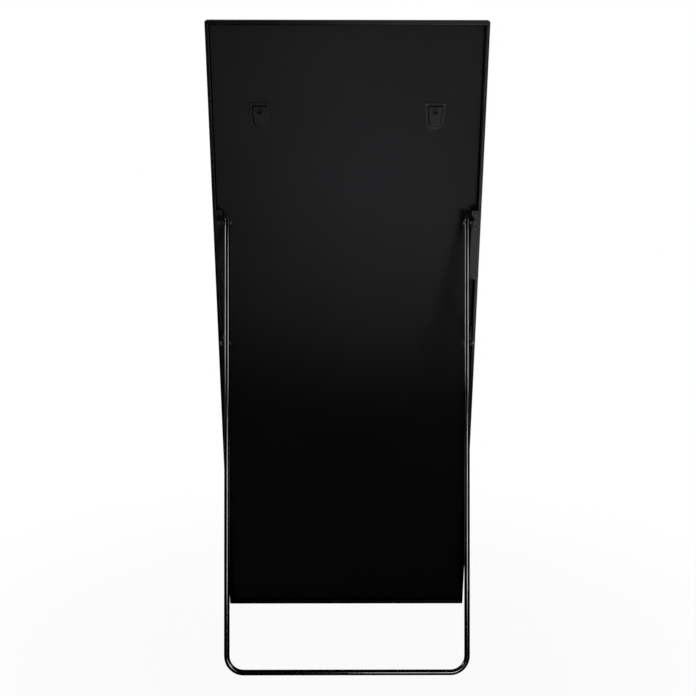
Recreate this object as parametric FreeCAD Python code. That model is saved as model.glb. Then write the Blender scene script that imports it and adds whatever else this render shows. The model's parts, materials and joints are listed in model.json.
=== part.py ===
import FreeCAD, Part
import os
from math import asin, atan2, cos, degrees, hypot, pi, radians, sin, tan

# Leaning floor mirror with a folding U-shaped stand, in millimetres.
#
# Pieces of the mirror are drawn with the panel upright: X runs across, Y points to the rear from
# the plane of the frame's rear rim, Z runs up from the bottom edge. Pieces of the stand are drawn
# with the legs upright and the pivot at the origin. Both are then tilted to where they stand.

Vector = FreeCAD.Vector

# Panel and its four mitred aluminium rails
panel_width = 610.0
panel_height = 1473.0
frame_depth = 26.0
rim_width = 9.0
frame_wall = 1.3
lip_width = 8.0
lip_thickness = 1.4
rail_round = 1.6
corner_radius = 3.0
glass_thickness = 4.0
foam_thickness = 2.0
board_thickness = 3.0
stack_play = 0.4
sheet_edge_play = 0.7

# Corner keys inside the rails
key_arm = 34.0
key_play = 0.15
key_screw_setback = 22.0
key_screw_radius = 1.7
key_screw_depth = 3.2
key_socket_width = 1.8
key_socket_depth = 1.6

# Shield-shaped hanger plates on the back board
hanger_inset = 111.0
hanger_drop = 175.0
hanger_width = 47.0
hanger_height = 58.0
hanger_taper = 4.0
hanger_corner = 3.0
hanger_foot_radius = 14.0
hanger_flange = 6.5
hanger_sheet = 1.2
hanger_rise = 4.6
hanger_bevel = 2.2
keyhole_drop = 20.0
keyhole_radius = 4.5
keyhole_slot_radius = 2.4
keyhole_slot = 9.0
hanger_screw_radius = 1.4
hanger_screw_head = 2.5
hanger_screw_head_height = 1.1
hanger_screw_reach = 2.4
hanger_screw_inset = 3.4
hanger_foot_screw_inset = 3.4

# Legs of the stand and their pivots
tube_radius = 6.35
tube_wall = 1.2
leg_inset = 33.0
leg_length = 1019.7
leg_rise = 7.0
bend_radius = 38.0
opening_angle = 22.05
folded_bar_rise = 7.95
pivot_offset = 11.0
cap_thickness = 1.8
cap_bevel = 1.0
cap_plug = 2.6
cap_play = 0.1

# Hinge plates and the blocks that take their screws
plate_thickness = 2.0
plate_bend = 1.6
plate_top = 25.0
plate_bottom = 139.0
plate_margin = 4.0
plate_corner = 3.0
ear_radius = 9.0
ear_flare = 3.0
hinge_screw_inset = 13.0
hinge_screw_up = 16.0
hinge_screw_down = 16.0
hinge_screw_low = 126.0
spare_hole_up = 5.5
spare_hole_radius = 2.2
hinge_screw_radius = 2.0
hinge_screw_head = 3.7
hinge_screw_head_height = 2.2
hinge_screw_length = 12.0
block_play = 0.2

# Pivot bolts
pivot_bolt_radius = 3.0
pivot_head_radius = 5.6
pivot_head_height = 2.6
pivot_nut_width = 10.0
pivot_nut_height = 5.0
pivot_spacer_length = 5.0
pivot_spacer_radius = 5.2
bolt_tail = 1.0

# Folding stays between the side rails and the legs
stay_drop = 274.0
stay_rail_pin_lower = 6.0
stay_depth = 7.2
stay_folded_angle = 85.0
link_width = 11.0
link_thickness = 1.5
crank_start = 14.0
crank_end = 31.0
mount_length = 50.0
mount_thickness = 2.0
mount_screw_reach = 18.5
mount_screw_radius = 1.75
mount_screw_head = 3.3
mount_screw_length = 8.0
stay_pin_radius = 2.5
stay_pin_head = 4.2
stay_pin_head_height = 1.3
stay_bolt_radius = 2.5
stay_bolt_head = 4.6
stay_bolt_head_height = 2.0
stay_nut_width = 8.0
stay_nut_height = 3.6
stay_washer_radius = 4.8
stay_washer_thickness = 2.4

# Wedge feet under the bottom rail
foot_inset = 70.0
foot_length = 52.0
foot_rear_thickness = 1.2
foot_front_inset = 2.0
foot_rear_inset = 2.5

# Fits
running_clearance = 0.06
screw_clearance = 0.05
side_gap = 0.3

# Bevel of a fastener's head, as a share of the head's height
head_bevel = 0.45

# Radius of a fully rounded end, as a share of its half width, so that a short flat parts its two arcs
full_round = 0.98

# How far a cutting tool passes through the face that it cuts
overshoot = 1.0

# Sizes that follow from the ones above
pivot_height = leg_length + tube_radius + folded_bar_rise
half_width = panel_width / 2.0
hanger_x = half_width - hanger_inset
hanger_top = panel_height - hanger_drop
sheet_stack = glass_thickness + foam_thickness + board_thickness
chamber_depth = frame_depth - lip_thickness - sheet_stack - stack_play
board_face = -(chamber_depth + stack_play / 2.0)
wall_x = half_width - rim_width
leg_x = half_width - leg_inset
leg_outer_x = leg_x + tube_radius
ear_x = leg_outer_x + pivot_spacer_length + side_gap
opening = radians(opening_angle)


def stay_geometry():
    """Pivots (rearward, up) and link lengths of a stay that is straight when open, flat when folded."""
    rail_pin = (-stay_depth, pivot_height - stay_drop - stay_rail_pin_lower)
    leg_pin_open = (pivot_offset + stay_drop * sin(opening), pivot_height - stay_drop * cos(opening))
    leg_pin_folded = (pivot_offset, pivot_height - stay_drop)
    reach = hypot(leg_pin_open[0] - rail_pin[0], leg_pin_open[1] - rail_pin[1])
    open_angle = atan2(leg_pin_open[1] - rail_pin[1], leg_pin_open[0] - rail_pin[0])
    closed = hypot(leg_pin_folded[0] - rail_pin[0], leg_pin_folded[1] - rail_pin[1])
    closed_angle = atan2(leg_pin_folded[1] - rail_pin[1], leg_pin_folded[0] - rail_pin[0])
    folded = radians(stay_folded_angle)
    rail_link = (reach**2 - closed**2) / (2.0 * (reach - closed * cos(folded - closed_angle)))
    leg_link = reach - rail_link
    elbow = (rail_pin[0] + rail_link * cos(folded), rail_pin[1] + rail_link * sin(folded))
    leg_link_folded = atan2(elbow[1] - leg_pin_folded[1], elbow[0] - leg_pin_folded[0])
    return {
        "rail_pin": rail_pin,
        "leg_pin": leg_pin_open,
        "open_angle": open_angle,
        "rail_link": rail_link,
        "leg_link": leg_link,
        "rail_link_turn": folded - open_angle,
        "leg_link_turn": open_angle + pi - leg_link_folded - opening,
    }


stay = stay_geometry()


def lean_angle():
    """Tilt of the panel that puts both its feet and the bar of the open stand on the floor."""
    across = pivot_offset + leg_length * sin(opening) + foot_rear_inset
    up = pivot_height - leg_length * cos(opening) + foot_rear_thickness
    return atan2(up, across) - asin(tube_radius / hypot(across, up))


lean = lean_angle()

# How a flat outline (a, b) with height c over it lies in space
PLANES = {
    "front": lambda a, b, c: Vector(a, c, b),
    "side": lambda a, b, c: Vector(c, a, b),
    "top": lambda a, b, c: Vector(a, b, c),
}


def outline(corners, plane="top", level=0.0):
    """Closed wire through (a, b, radius) corners."""
    points = [PLANES[plane](a, b, level) for a, b, _ in corners]
    edges = []
    ends = []
    for i, (_, _, radius) in enumerate(corners):
        here = points[i]
        back = (points[i - 1] - here).normalize()
        ahead = (points[(i + 1) % len(points)] - here).normalize()
        if radius <= 0.0:
            ends.append((here, here))
            continue
        half = back.getAngle(ahead) / 2.0
        middle = (back + ahead).normalize()
        centre = here + middle * (radius / sin(half))
        start = here + back * (radius / tan(half))
        end = here + ahead * (radius / tan(half))
        edges.append(Part.Arc(start, centre - middle * radius, end).toShape())
        ends.append((start, end))
    for i, (start, _) in enumerate(ends):
        previous_end = ends[i - 1][1]
        if previous_end.distanceToPoint(start) > 1e-6:
            edges.append(Part.LineSegment(previous_end, start).toShape())
    return Part.Wire(Part.__sortEdges__(edges))


def plate(corners, plane, low, high):
    """Prism on an outline, between two levels along the normal of its plane."""
    return Part.Face(outline(corners, plane, low)).extrude(PLANES[plane](0.0, 0.0, high - low))


def block(x, y, z):
    """Box from (low, high) pairs."""
    return Part.makeBox(x[1] - x[0], y[1] - y[0], z[1] - z[0], Vector(x[0], y[0], z[0]))


def rod(radius, start, end):
    """Cylinder between two points."""
    return Part.makeCylinder(radius, (end - start).Length, start, end - start)


def turned(corners):
    """Solid of revolution about Z from (radius, height, rounding) corners."""
    return Part.Face(outline(corners, "front")).revolve(Vector(0, 0, 0), Vector(0, 0, 1), 360.0)


def aimed(shape, point, direction):
    """Shape drawn along Z, moved to a point and turned to a direction."""
    placed = shape.copy()
    placed.Placement = FreeCAD.Placement(point, FreeCAD.Rotation(Vector(0, 0, 1), direction))
    return placed


def mirrored(shape):
    """The same piece for the other side of the object."""
    return shape.mirror(Vector(0, 0, 0), Vector(1, 0, 0))


def sides(shape):
    """Left and right pieces from the right-hand one."""
    return mirrored(shape), shape


def cut_all(shape, tools):
    return shape.cut(Part.makeCompound(tools)) if tools else shape


def through(radius, start, end):
    """Cutting tool for a round hole that passes both faces."""
    step = (end - start).normalize() * overshoot
    return rod(radius, start - step, end + step)


def countersunk_screw(radius, length, head_radius):
    """Screw whose flat head ends flush at z = 0."""
    return turned([
        (0.0, -length, 0.0),
        (radius, -length, 0.0),
        (radius, radius - head_radius, 0.0),
        (head_radius, 0.0, 0.0),
        (0.0, 0.0, 0.0),
    ])


def hex_prism(width, height):
    """Hexagonal prism that stands on z = 0."""
    corner = width / 2.0 / cos(pi / 6.0)
    corners = [(corner * cos(i * pi / 3.0), corner * sin(i * pi / 3.0), 0.0) for i in range(6)]
    return plate(corners, "top", 0.0, height)


def hex_nut(width, height, bore_radius):
    """Nut that stands on z = 0."""
    return hex_prism(width, height).cut(through(bore_radius, Vector(0, 0, 0), Vector(0, 0, height)))


def headed_pin(radius, length, head_radius, head_height):
    """Bolt, screw or rivet: shank below z = 0, bevelled head above it."""
    bevel = head_bevel * head_height
    return turned([
        (0.0, -length, 0.0),
        (radius, -length, 0.0),
        (radius, 0.0, 0.0),
        (head_radius, 0.0, 0.0),
        (head_radius, head_height - bevel, 0.0),
        (head_radius - 2.0 * bevel, head_height, 0.0),
        (0.0, head_height, 0.0),
    ])


# ---------------------------------------------------------------------------------------------
# Frame


def rail_bar(length):
    """Extrusion: hollow chamber behind, slot for the sheets, lip over the glass."""
    slot_front = lip_thickness - frame_depth
    end = length / 2.0
    bar = plate([
        (0.0, 0.0, rail_round),
        (0.0, rim_width, rail_round),
        (-chamber_depth, rim_width, 0.0),
        (-chamber_depth, frame_wall, 0.0),
        (slot_front, frame_wall, 0.0),
        (slot_front, lip_width, 0.0),
        (-frame_depth, lip_width, lip_thickness / 2.0),
        (-frame_depth, 0.0, rail_round / 2.0),
    ], "side", -end, end)
    chamber = block((-end - overshoot, end + overshoot), (frame_wall - chamber_depth, -frame_wall),
                    (frame_wall, rim_width - frame_wall))
    return bar.cut(chamber)


def rail(length):
    """Bottom rail of a panel of this width, with mitred ends."""
    end = length / 2.0
    mitre = plate(
        [(-end, 0.0, 0.0), (end, 0.0, 0.0),
         (end - rim_width, rim_width, 0.0), (rim_width - end, rim_width, 0.0)],
        "front", -frame_depth - overshoot, overshoot)
    return rail_bar(length).common(mitre)


def to_side(shape, half_span, turn):
    """Moves a piece drawn for the bottom rail to another side of the panel."""
    centre = Vector(0, 0, panel_height / 2.0)
    moved = shape.copy()
    moved.translate(centre - Vector(0, 0, half_span))
    moved.rotate(centre, Vector(0, 1, 0), turn)
    return moved


def rail_sides():
    """Name, length, half span and turn of each rail."""
    half_height = panel_height / 2.0
    return (
        ("bottom", panel_width, half_height, 0.0),
        ("left", panel_height, half_width, 90.0),
        ("top", panel_width, half_height, 180.0),
        ("right", panel_height, half_width, 270.0),
    )


def key_screws(grow=0.0):
    """Two set screws in each rail, sunk in its inner wall, each drawn with a hexagonal socket."""
    screws = []
    middle = -chamber_depth / 2.0
    for _, length, half_span, turn in rail_sides():
        for end in (-1.0, 1.0):
            x = end * (length / 2.0 - key_screw_setback)
            top = Vector(x, middle, rim_width)
            screw = rod(key_screw_radius + grow, top - Vector(0, 0, key_screw_depth + grow), top)
            if grow == 0.0:
                screw = screw.cut(aimed(hex_prism(key_socket_width, key_socket_depth), top, Vector(0, 0, -1)))
            screws.append(to_side(screw, half_span, turn))
    return screws


def frame_rails():
    body = plate([
        (-half_width, 0.0, corner_radius),
        (half_width, 0.0, corner_radius),
        (half_width, panel_height, corner_radius),
        (-half_width, panel_height, corner_radius),
    ], "front", -frame_depth - overshoot, overshoot)
    holes = key_screws(screw_clearance)
    stay_holes = mount_screw_holes()
    rails = {}
    for name, length, half_span, turn in rail_sides():
        shape = to_side(rail(length), half_span, turn).common(body)
        rails["frame_rail_" + name] = cut_all(shape, holes + stay_holes)
    return rails


def corner_keys():
    """L-shaped keys that fill the rails' chambers at the corners."""
    near = frame_wall + key_play
    far = rim_width - frame_wall - key_play
    holes = key_screws(screw_clearance)
    keys = []
    for side in (-1.0, 1.0):
        for low in (True, False):
            def corner(a, b):
                return side * (half_width - a), b if low else panel_height - b, 0.0
            bends = [(near, near), (near + key_arm, near), (near + key_arm, far),
                     (far, far), (far, near + key_arm), (near, near + key_arm)]
            key = plate([corner(a, b) for a, b in bends], "front",
                        frame_wall + key_play - chamber_depth, -frame_wall - key_play)
            keys.append(cut_all(key, holes))
    return keys


def sheet(front, thickness):
    """Rectangular sheet held in the slot of the rails."""
    edge = frame_wall + sheet_edge_play
    return block((edge - half_width, half_width - edge), (front, front + thickness),
                 (edge, panel_height - edge))


def sheets():
    """Mirror glass, foam and back board, from the front lip to the chambers."""
    glass_front = lip_thickness - frame_depth + stack_play / 2.0
    foam_front = glass_front + glass_thickness
    board_front = foam_front + foam_thickness
    board = cut_all(sheet(board_front, board_thickness), hanger_screws(screw_clearance))
    return {
        "mirror_glass": sheet(glass_front, glass_thickness),
        "foam_sheet": sheet(foam_front, foam_thickness),
        "back_board": board,
    }


# ---------------------------------------------------------------------------------------------
# Hangers


def shield(inset):
    """Outline of a hanger about its own centre line, measured down from its top edge."""
    half = hanger_width / 2.0 - inset
    foot = half - hanger_taper
    radius = max(hanger_foot_radius - inset, 1.0)
    bottom = -hanger_height + inset
    return [
        (-half, -inset, hanger_corner),
        (half, -inset, hanger_corner),
        (foot, bottom, radius),
        (-foot, bottom, radius),
    ]


def hanger_at(corners, side):
    """Hanger outline moved to its place on the panel."""
    return [(a + side * hanger_x, b + hanger_top, radius) for a, b, radius in corners]


def keyhole(side, rear):
    """Cutting tools for a round hole and the narrower slot that runs up from it."""
    x = side * hanger_x
    z = hanger_top - keyhole_drop
    hole = through(keyhole_radius, Vector(x, board_face, z), Vector(x, rear, z))
    slot = plate([
        (x - keyhole_slot_radius, z, 0.0),
        (x + keyhole_slot_radius, z, 0.0),
        (x + keyhole_slot_radius, z + keyhole_slot, keyhole_slot_radius * full_round),
        (x - keyhole_slot_radius, z + keyhole_slot, keyhole_slot_radius * full_round),
    ], "front", board_face - overshoot, rear + overshoot)
    return [hole, slot]


def hanger_plate(side):
    """Pressed plate: flat flange, raised hollow shield, keyhole for a wall screw."""
    flange = plate(hanger_at(shield(0.0), side), "front", board_face, board_face + hanger_sheet)
    rear = board_face + hanger_rise
    raised = plate(hanger_at(shield(hanger_flange), side), "front", board_face, rear)
    rear_edges = [edge for edge in raised.Edges if edge.BoundBox.YMin > rear - hanger_sheet / 2.0]
    raised = raised.makeChamfer(hanger_bevel, rear_edges)
    hollow = plate(hanger_at(shield(hanger_flange + 2.0 * hanger_sheet), side), "front",
                   board_face - overshoot, rear - hanger_sheet)
    body = flange.fuse(raised).cut(hollow).removeSplitter()
    return cut_all(body, keyhole(side, rear) + hanger_screws(screw_clearance))


def hanger_screws(grow=0.0):
    """Three small screws in the flange of each hanger."""
    head_seat = board_face + hanger_sheet
    length = hanger_sheet + hanger_screw_reach
    half = hanger_width / 2.0 - hanger_screw_inset
    spots = ((-half, -hanger_screw_inset), (half, -hanger_screw_inset),
             (0.0, hanger_foot_screw_inset - hanger_height))
    screws = []
    for side in (-1.0, 1.0):
        for a, b in spots:
            seat = Vector(side * hanger_x + a, head_seat, hanger_top + b)
            if grow:
                tip = seat - Vector(0, length + grow, 0)
                screws.append(rod(hanger_screw_radius + grow, tip, seat + Vector(0, grow, 0)))
            else:
                screw = headed_pin(hanger_screw_radius, length, hanger_screw_head, hanger_screw_head_height)
                screws.append(aimed(screw, seat, Vector(0, 1, 0)))
    return screws


# ---------------------------------------------------------------------------------------------
# Hinges, drawn for the right-hand side


def hinge_screw_spots():
    """Places (across, up) of the screws of one hinge."""
    x = half_width - hinge_screw_inset
    return [(x, pivot_height + up) for up in (hinge_screw_up, -hinge_screw_down, -hinge_screw_low)]


def hinge_screw_holes():
    return [rod(hinge_screw_radius + screw_clearance,
                Vector(x, -hinge_screw_length - screw_clearance, z),
                Vector(x, plate_thickness + overshoot, z)) for x, z in hinge_screw_spots()]


def hinge_screws():
    shape = headed_pin(hinge_screw_radius, hinge_screw_length + plate_thickness,
                       hinge_screw_head, hinge_screw_head_height)
    return [aimed(shape, Vector(x, plate_thickness, z), Vector(0, 1, 0)) for x, z in hinge_screw_spots()]


def hinge_plate():
    """Bent steel plate: long flange on the rim, rounded ear that holds the pivot bolt."""
    outer_x = half_width - plate_margin
    flange = plate([
        (ear_x, pivot_height - plate_bottom, plate_corner),
        (outer_x, pivot_height - plate_bottom, plate_corner),
        (outer_x, pivot_height + plate_top, plate_corner),
        (ear_x, pivot_height + plate_top, plate_corner),
    ], "front", 0.0, plate_thickness)
    ear_top = pivot_offset + ear_radius
    ear_half = ear_radius + ear_flare
    bend = plate([
        (ear_x, 0.0, plate_bend + plate_thickness / 2.0),
        (outer_x - plate_corner, 0.0, 0.0),
        (outer_x - plate_corner, plate_thickness, 0.0),
        (ear_x + plate_thickness, plate_thickness, plate_bend),
        (ear_x + plate_thickness, ear_top, 0.0),
        (ear_x, ear_top, 0.0),
    ], "top", pivot_height - 2.0 * ear_radius, pivot_height + 2.0 * ear_radius)
    ear = plate([
        (-overshoot, pivot_height - ear_half, 0.0),
        (ear_top, pivot_height - ear_radius, ear_radius * full_round),
        (ear_top, pivot_height + ear_radius, ear_radius * full_round),
        (-overshoot, pivot_height + ear_half, 0.0),
    ], "side", ear_x - overshoot, outer_x)
    window = block((ear_x - overshoot, ear_x + plate_thickness + plate_bend),
                   (-overshoot, plate_thickness + overshoot),
                   (pivot_height - ear_half, pivot_height + ear_half))
    pivot = Vector(ear_x, pivot_offset, pivot_height)
    bore = through(pivot_bolt_radius + running_clearance, pivot, pivot + Vector(plate_thickness, 0, 0))
    spot = Vector(half_width - hinge_screw_inset, 0, pivot_height + spare_hole_up)
    spare = through(spare_hole_radius, spot, spot + Vector(0, plate_thickness, 0))
    body = flange.cut(window).fuse(bend.common(ear)).removeSplitter()
    return cut_all(body, hinge_screw_holes() + [bore, spare])


def hinge_block():
    """Packing block in the recess beside the rail, under the flange."""
    body = block((ear_x + block_play, wall_x - block_play), (board_face, 0.0),
                 (pivot_height - plate_bottom + plate_corner, pivot_height + plate_top - plate_corner))
    return cut_all(body, hinge_screw_holes())


# ---------------------------------------------------------------------------------------------
# Stand, drawn upright with the pivot at the origin


def tube_path():
    """Centre line of the U, from the right leg's top round to the left leg's."""
    low = -leg_length
    side = leg_x
    bend = bend_radius
    turn = bend * (1.0 - cos(pi / 4.0))
    right_arc = Part.Arc(Vector(side, 0, low + bend), Vector(side - turn, 0, low + turn),
                         Vector(side - bend, 0, low))
    left_arc = Part.Arc(Vector(bend - side, 0, low), Vector(turn - side, 0, low + turn),
                        Vector(-side, 0, low + bend))
    return Part.Wire([
        Part.LineSegment(Vector(side, 0, leg_rise), Vector(side, 0, low + bend)).toShape(),
        right_arc.toShape(),
        Part.LineSegment(Vector(side - bend, 0, low), Vector(bend - side, 0, low)).toShape(),
        left_arc.toShape(),
        Part.LineSegment(Vector(-side, 0, low + bend), Vector(-side, 0, leg_rise)).toShape(),
    ])


def swept(radius):
    """Round bar along the stand's centre line."""
    ring = Part.Wire(Part.makeCircle(radius, Vector(leg_x, 0, leg_rise), Vector(0, 0, 1)))
    return tube_path().makePipeShell([ring], True, False)


def stand_tube():
    """Bent steel tube with cross holes for the pivot and stay bolts."""
    body = swept(tube_radius).cut(swept(tube_radius - tube_wall))
    holes = []
    for radius, z in ((pivot_bolt_radius, 0.0), (stay_bolt_radius, -stay_drop)):
        for side in (-1.0, 1.0):
            centre = Vector(side * leg_x, 0, z)
            half = Vector(tube_radius, 0, 0)
            holes.append(through(radius + screw_clearance, centre - half, centre + half))
    return cut_all(body, holes)


def tube_cap():
    """Plastic plug with a bevelled top in the open end of a leg."""
    inner = tube_radius - tube_wall - cap_play
    cap = turned([
        (0.0, -cap_plug, 0.0),
        (inner, -cap_plug, 0.0),
        (inner, 0.0, 0.0),
        (tube_radius, 0.0, 0.0),
        (tube_radius, cap_thickness - cap_bevel, 0.0),
        (tube_radius - cap_bevel, cap_thickness, 0.0),
        (0.0, cap_thickness, 0.0),
    ])
    return aimed(cap, Vector(leg_x, 0, leg_rise), Vector(0, 0, 1))


def leg_bolt(radius, head_radius, head_height, held, z):
    """Bolt with its head on the leg's inner side, long enough for the pieces that it holds beside the leg."""
    length = 2.0 * tube_radius + held + 2.0 * side_gap + bolt_tail
    shape = headed_pin(radius, length, head_radius, head_height)
    return aimed(shape, Vector(leg_x - tube_radius, 0, z), Vector(-1, 0, 0))


def pivot_bolt():
    """Bolt through the leg, the spacer and the ear."""
    held = pivot_spacer_length + plate_thickness + pivot_nut_height
    return leg_bolt(pivot_bolt_radius, pivot_head_radius, pivot_head_height, held, 0.0)


def ring(radius, bore_radius, start_x, length, z):
    """Washer or spacer about an axis along X."""
    start = Vector(start_x, 0, z)
    end = Vector(start_x + length, 0, z)
    return rod(radius, start, end).cut(through(bore_radius, start, end))


def pivot_spacer():
    return ring(pivot_spacer_radius, pivot_bolt_radius + screw_clearance, leg_outer_x,
                pivot_spacer_length, 0.0)


def pivot_nut():
    nut = hex_nut(pivot_nut_width, pivot_nut_height, pivot_bolt_radius + screw_clearance)
    return aimed(nut, Vector(ear_x + plate_thickness + side_gap, 0, 0), Vector(1, 0, 0))


# ---------------------------------------------------------------------------------------------
# Stays, drawn for the right-hand side

leg_link_x = leg_outer_x + stay_washer_thickness + side_gap
elbow_x = leg_link_x + link_thickness + side_gap
mount_x = wall_x - mount_thickness
rail_link_x = mount_x - side_gap - link_thickness


def stay_bolt():
    """Bolt through the leg, the washer and the leg's link."""
    held = stay_washer_thickness + link_thickness + stay_nut_height
    return leg_bolt(stay_bolt_radius, stay_bolt_head, stay_bolt_head_height, held, -stay_drop)


def stay_washer():
    return ring(stay_washer_radius, stay_bolt_radius + screw_clearance, leg_outer_x, stay_washer_thickness,
                -stay_drop)


def stay_nut():
    nut = hex_nut(stay_nut_width, stay_nut_height, stay_bolt_radius + screw_clearance)
    return aimed(nut, Vector(leg_link_x + link_thickness + side_gap, 0, -stay_drop), Vector(1, 0, 0))


def rounded_strip(low, high, width, x_low, x_high):
    """Flat strip across X whose fully rounded ends are centred on two places (rearward, up)."""
    half = width / 2.0
    radius = half * full_round
    return plate([
        (low[0] - half, low[1] - half, radius),
        (high[0] + half, low[1] - half, radius),
        (high[0] + half, high[1] + half, radius),
        (low[0] - half, high[1] + half, radius),
    ], "side", x_low, x_high)


def link_body(length, x_low, x_high):
    """Strip from a link's first pivot at the origin to its second one along Y."""
    return rounded_strip((0.0, 0.0), (length, 0.0), link_width, x_low, x_high)


def link_holes(eye_radius, eye_x, rivet_x, length):
    """Cutting tools for the running eye at the origin and the rivet's hole at the elbow."""
    across = Vector(link_thickness, 0, 0)
    eye = Vector(eye_x, 0, 0)
    rivet = Vector(rivet_x, length, 0)
    return [through(eye_radius + running_clearance, eye, eye + across),
            through(stay_pin_radius + screw_clearance, rivet, rivet + across)]


def leg_link():
    """Flat link from the leg's bolt to the elbow."""
    length = stay["leg_link"]
    strip = link_body(length, leg_link_x, leg_link_x + link_thickness)
    return cut_all(strip, link_holes(stay_bolt_radius, leg_link_x, leg_link_x, length))


def rail_link():
    """Cranked link from the rail's pin, in one plane, to the elbow, in another."""
    length = stay["rail_link"]
    outer = rail_link_x
    inner = elbow_x
    run = crank_end - crank_start
    slope_shift = (hypot(outer - inner, run) / run - 1.0) * link_thickness / 2.0
    strip = plate([
        (outer, -link_width, 0.0),
        (outer + link_thickness, -link_width, 0.0),
        (outer + link_thickness, crank_start + slope_shift, link_thickness),
        (inner + link_thickness, crank_end + slope_shift, link_thickness),
        (inner + link_thickness, length + link_width, 0.0),
        (inner, length + link_width, 0.0),
        (inner, crank_end - slope_shift, link_thickness),
        (outer, crank_start - slope_shift, link_thickness),
    ], "top", -link_width, link_width).common(link_body(length, leg_x, half_width))
    return cut_all(strip, link_holes(stay_pin_radius, outer, inner, length))


def elbow_rivet(outer):
    """One half of the elbow's rivet: a head and a shank that ends flush with its own link."""
    shape = headed_pin(stay_pin_radius, link_thickness, stay_pin_head, stay_pin_head_height)
    if outer:
        return aimed(shape, Vector(elbow_x + link_thickness, stay["rail_link"], 0), Vector(1, 0, 0))
    return aimed(shape, Vector(leg_link_x, stay["leg_link"], 0), Vector(-1, 0, 0))


def swung(shape, pin, angle):
    """Piece of a stay, drawn along Y, turned about its pivot and moved there."""
    moved = shape.copy()
    moved.rotate(Vector(0, 0, 0), Vector(1, 0, 0), degrees(angle))
    moved.translate(Vector(0, pin[0], pin[1]))
    return moved


def rail_pin():
    """Rivet in the mount that the rail's link turns on."""
    seat = Vector(rail_link_x - side_gap, *stay["rail_pin"])
    shape = headed_pin(stay_pin_radius, wall_x - seat.x, stay_pin_head, stay_pin_head_height)
    return aimed(shape, seat, Vector(-1, 0, 0))


def mount_screw_spots():
    y, z = stay["rail_pin"]
    return [Vector(mount_x, y, z + reach) for reach in (-mount_screw_reach, mount_screw_reach)]


def mount_screws():
    shape = countersunk_screw(mount_screw_radius, mount_screw_length, mount_screw_head)
    return [aimed(shape, spot, Vector(-1, 0, 0)) for spot in mount_screw_spots()]


def mount_screw_holes():
    """Holes for both mounts' screws in the inner walls of the rails."""
    holes = []
    for spot in mount_screw_spots():
        end = spot + Vector(mount_screw_length, 0, 0)
        holes += sides(through(mount_screw_radius + screw_clearance, spot, end))
    return holes


def stay_mount():
    """Small plate on the rail's inner wall that carries the pin."""
    y, z = stay["rail_pin"]
    reach = (mount_length - link_width) / 2.0
    body = rounded_strip((y, z - reach), (y, z + reach), link_width, mount_x, wall_x)
    tools = [through(stay_pin_radius + screw_clearance, Vector(mount_x, y, z), Vector(wall_x, y, z))]
    cone = countersunk_screw(mount_screw_radius + screw_clearance, mount_screw_length,
                             mount_screw_head + screw_clearance)
    tools += [aimed(cone, spot, Vector(-1, 0, 0)) for spot in mount_screw_spots()]
    return cut_all(body, tools)


# ---------------------------------------------------------------------------------------------
# Feet and assembly


def wedge_foot():
    """Rubber wedge under the bottom rail, level on its underside when the mirror leans."""
    front = foot_front_inset - frame_depth
    rear = -foot_rear_inset
    drop = foot_rear_thickness + (rear - front) * tan(lean)
    middle = half_width - foot_inset
    return plate([
        (front, 0.0, 0.0),
        (rear, 0.0, 0.0),
        (rear, -foot_rear_thickness, 0.0),
        (front, -drop, 0.0),
    ], "side", middle - foot_length / 2.0, middle + foot_length / 2.0)


def panel_nodes():
    """Every piece that is fixed to the mirror, drawn with the panel upright."""
    nodes = frame_rails()
    nodes["corner_keys"] = Part.makeCompound(corner_keys())
    nodes["corner_screws"] = Part.makeCompound(key_screws())
    nodes.update(sheets())
    nodes["hanger_plate_left"] = hanger_plate(-1.0)
    nodes["hanger_plate_right"] = hanger_plate(1.0)
    nodes["hanger_screws"] = Part.makeCompound(hanger_screws())
    nodes["hinge_plate_left"], nodes["hinge_plate_right"] = sides(hinge_plate())
    nodes["hinge_block_left"], nodes["hinge_block_right"] = sides(hinge_block())
    nodes["hinge_screws"] = pair(hinge_screws())
    nodes["stay_mount_left"], nodes["stay_mount_right"] = sides(stay_mount())
    nodes["stay_mount_screws"] = pair(mount_screws())
    nodes["stay_rail_pins"] = pair([rail_pin()])
    nodes["wedge_feet"] = pair([wedge_foot()])
    link = swung(rail_link(), stay["rail_pin"], stay["open_angle"])
    nodes["stay_rail_link_left"], nodes["stay_rail_link_right"] = sides(link)
    rivet = swung(elbow_rivet(True), stay["rail_pin"], stay["open_angle"])
    nodes["elbow_rivet_outer_left"], nodes["elbow_rivet_outer_right"] = sides(rivet)
    link = swung(leg_link(), stay["leg_pin"], stay["open_angle"] + pi)
    nodes["stay_leg_link_left"], nodes["stay_leg_link_right"] = sides(link)
    rivet = swung(elbow_rivet(False), stay["leg_pin"], stay["open_angle"] + pi)
    nodes["elbow_rivet_inner_left"], nodes["elbow_rivet_inner_right"] = sides(rivet)
    return nodes


def stand_nodes():
    """Every piece that is fixed to the stand, drawn upright about the pivot."""
    return {
        "stand_tube": stand_tube(),
        "tube_caps": pair([tube_cap()]),
        "pivot_bolts": pair([pivot_bolt()]),
        "pivot_spacers": pair([pivot_spacer()]),
        "pivot_nuts": pair([pivot_nut()]),
        "stay_bolts": pair([stay_bolt()]),
        "stay_washers": pair([stay_washer()]),
        "stay_nuts": pair([stay_nut()]),
    }


def pair(shapes):
    """Compound of right-hand pieces and their mirror images."""
    return Part.makeCompound([one for shape in shapes for one in sides(shape)])


def to_floor(point):
    """A point (x, rearward, up) of the upright panel where the mirror leans on its feet."""
    y = point[1] + foot_rear_inset
    z = point[2] + foot_rear_thickness
    return Vector(point[0], y * cos(lean) + z * sin(lean), z * cos(lean) - y * sin(lean))


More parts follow.
